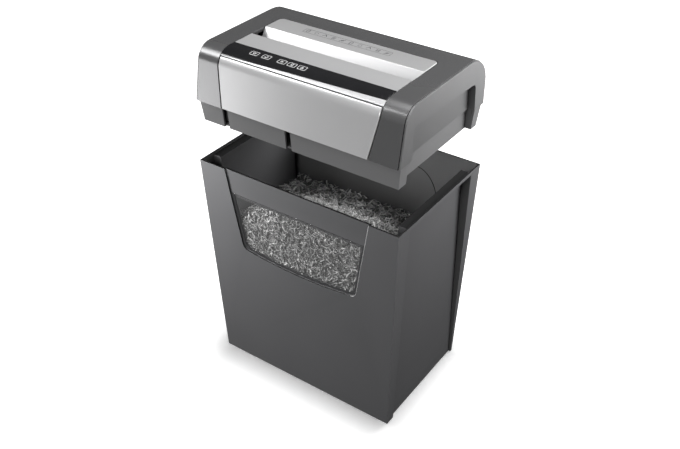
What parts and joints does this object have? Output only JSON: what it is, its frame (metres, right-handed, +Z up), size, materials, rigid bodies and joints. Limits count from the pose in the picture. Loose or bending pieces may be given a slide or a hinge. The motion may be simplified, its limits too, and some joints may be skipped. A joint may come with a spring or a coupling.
{
  "type": "paper shredder",
  "caption": "Cross-cut paper shredder: a cutting head with a slot, keys and side hand recesses that lifts off a tapered waste bin with a window",
  "frame": {"origin": "centre of the bounding box on the floor, under the middle of the bin", "axes": "+Z up, along the way the head lifts; -Y is the front with the window; +X is the right side seen from the front"},
  "size_m": [0.335, 0.219, 0.5283],
  "materials": {
    "charcoal": "metallic charcoal, satin",
    "bin": "dark grey, satin",
    "cover": "metallic grey, satin",
    "skirt": "grey, satin",
    "silver": "silver paint, satin",
    "gloss_black": "polished",
    "lens": "smoked, translucent",
    "smoked_clear": "clear, lightly smoked",
    "paper": "loose cut strips of office paper",
    "black_plastic": "moulded",
    "steel": "machined",
    "zinc": "zinc plated",
    "nylon": "natural nylon",
    "bronze": "sintered",
    "board": "green laminate",
    "magnet": "plated"
  },
  "bodies": {
    "bin": {"bin_body": "bin", "window_pane": "smoked_clear", "paper_shreds": "paper", "interlock_magnet": "magnet"},
    "head": {"bin_full_lens": "lens", "control_board": "board", "control_strip": "gloss_black", "cord_gland": "black_plastic", "front_comb": "black_plastic", "front_left_bush": "bronze", "front_lower_rod": "zinc", "front_panel": "silver", "front_right_bush": "bronze", "front_upper_rod": "zinc", "gear_plate": "zinc", "gear_plate_spacer": "zinc", "head_casing": "charcoal", "interlock_sensor": "black_plastic", "jam_lens": "lens", "left_frame_plate": "zinc", "left_front_screw": "zinc", "left_rear_screw": "zinc", "left_side_cover": "cover", "lower_motor_screw": "zinc", "motor": "steel", "panel_carrier": "black_plastic", "paper_guide": "black_plastic", "paper_sensor_eye": "black_plastic", "paper_sensor_lamp": "black_plastic", "ready_lens": "lens", "rear_comb": "black_plastic", "rear_deck": "silver", "rear_left_bush": "bronze", "rear_lower_rod": "zinc", "rear_right_bush": "bronze", "rear_upper_rod": "zinc", "right_frame_plate": "zinc", "right_front_screw": "zinc", "right_rear_screw": "zinc", "right_side_cover": "cover", "skirt": "skirt", "top_trim": "silver", "upper_motor_screw": "zinc", "vent_grille": "black_plastic"},
    "rear_cutter_train": {"rear_cutter": "steel", "rear_timing_gear": "steel", "main_gear": "nylon"},
    "front_cutter_train": {"front_cutter": "steel", "front_timing_gear": "steel"},
    "reduction": {"reduction_gear": "nylon"},
    "motor_rotor": {"motor_pinion": "steel"},
    "standby": {"standby_key": "gloss_black"},
    "reverse": {"reverse_key": "gloss_black"}
  },
  "joints": [
    {"name": "head_lift", "type": "slide", "parent": "bin", "child": "head", "axis": [0, 0, 1], "range_m": [-0.0962, 0.12]},
    {"name": "motor_spin", "type": "hinge", "parent": "head", "child": "motor_rotor", "pos_m": [0, 0.06942, 0.46954], "axis": [1, 0, 0], "continuous": true},
    {"name": "reduction_spin", "type": "hinge", "parent": "head", "child": "reduction", "pos_m": [0, 0.03601, 0.47305], "axis": [1, 0, 0], "continuous": true},
    {"name": "rear_cutter_spin", "type": "hinge", "parent": "head", "child": "rear_cutter_train", "pos_m": [0, -0.0005, 0.4583], "axis": [1, 0, 0], "continuous": true},
    {"name": "front_cutter_spin", "type": "hinge", "parent": "head", "child": "front_cutter_train", "pos_m": [0, -0.0355, 0.4583], "axis": [1, 0, 0], "continuous": true},
    {"name": "standby_press", "type": "slide", "parent": "head", "child": "standby", "axis": [0, 0, -1], "range_m": [0, 0.0008], "stiffness_N_per_m": 300, "springref_m": -0.001},
    {"name": "reverse_press", "type": "slide", "parent": "head", "child": "reverse", "axis": [0, 0, -1], "range_m": [0, 0.0008], "stiffness_N_per_m": 300, "springref_m": -0.001}
  ],
  "couplings": [
    {"joint": "motor_spin", "follows": "rear_cutter_spin", "ratio": 10.45},
    {"joint": "reduction_spin", "follows": "rear_cutter_spin", "ratio": -2.75},
    {"joint": "front_cutter_spin", "follows": "rear_cutter_spin", "ratio": -1}
  ]
}
